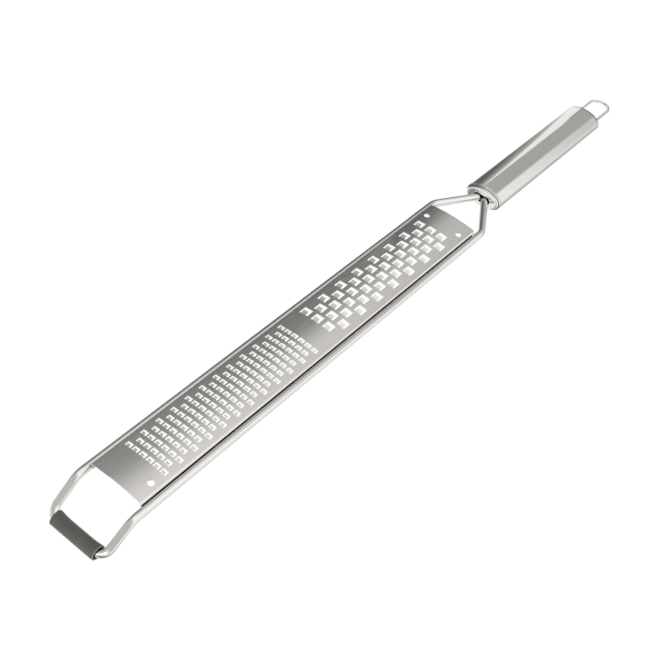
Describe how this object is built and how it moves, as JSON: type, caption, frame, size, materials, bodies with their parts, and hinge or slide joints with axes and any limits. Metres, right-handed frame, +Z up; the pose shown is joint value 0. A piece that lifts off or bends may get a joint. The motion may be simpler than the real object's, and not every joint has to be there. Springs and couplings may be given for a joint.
{
  "type": "rasp zester",
  "caption": "Long flat kitchen rasp: a crowned steel plate with fine and coarse teeth on a bent wire frame, with a rubber foot, an oval tube handle and a hanging loop.",
  "frame": {"origin": "bottom centre of the tool's box, on the surface that it rests on", "axes": "+X along the tool towards the handle, +Z up from the resting surface, +Y to the left seen from the foot"},
  "size_m": [0.4136, 0.034, 0.0178],
  "materials": {
    "plate_steel": "fine lengthwise brushed",
    "wire_steel": "polished drawn wire",
    "tube_steel": "satin",
    "cap_steel": "polished pressed sheet",
    "loop_steel": "polished drawn wire",
    "weld_metal": "as welded",
    "foot_rubber": "matt moulded"
  },
  "bodies": {
    "root": {"grater_plate": "plate_steel", "frame_wire": "wire_steel", "rail_welds": "weld_metal", "foot_sleeve": "foot_rubber", "handle_tube": "tube_steel", "front_cap": "cap_steel", "neck_weld": "weld_metal", "rear_cap": "cap_steel", "hanging_loop": "loop_steel", "loop_welds": "weld_metal"}
  },
  "joints": []
}
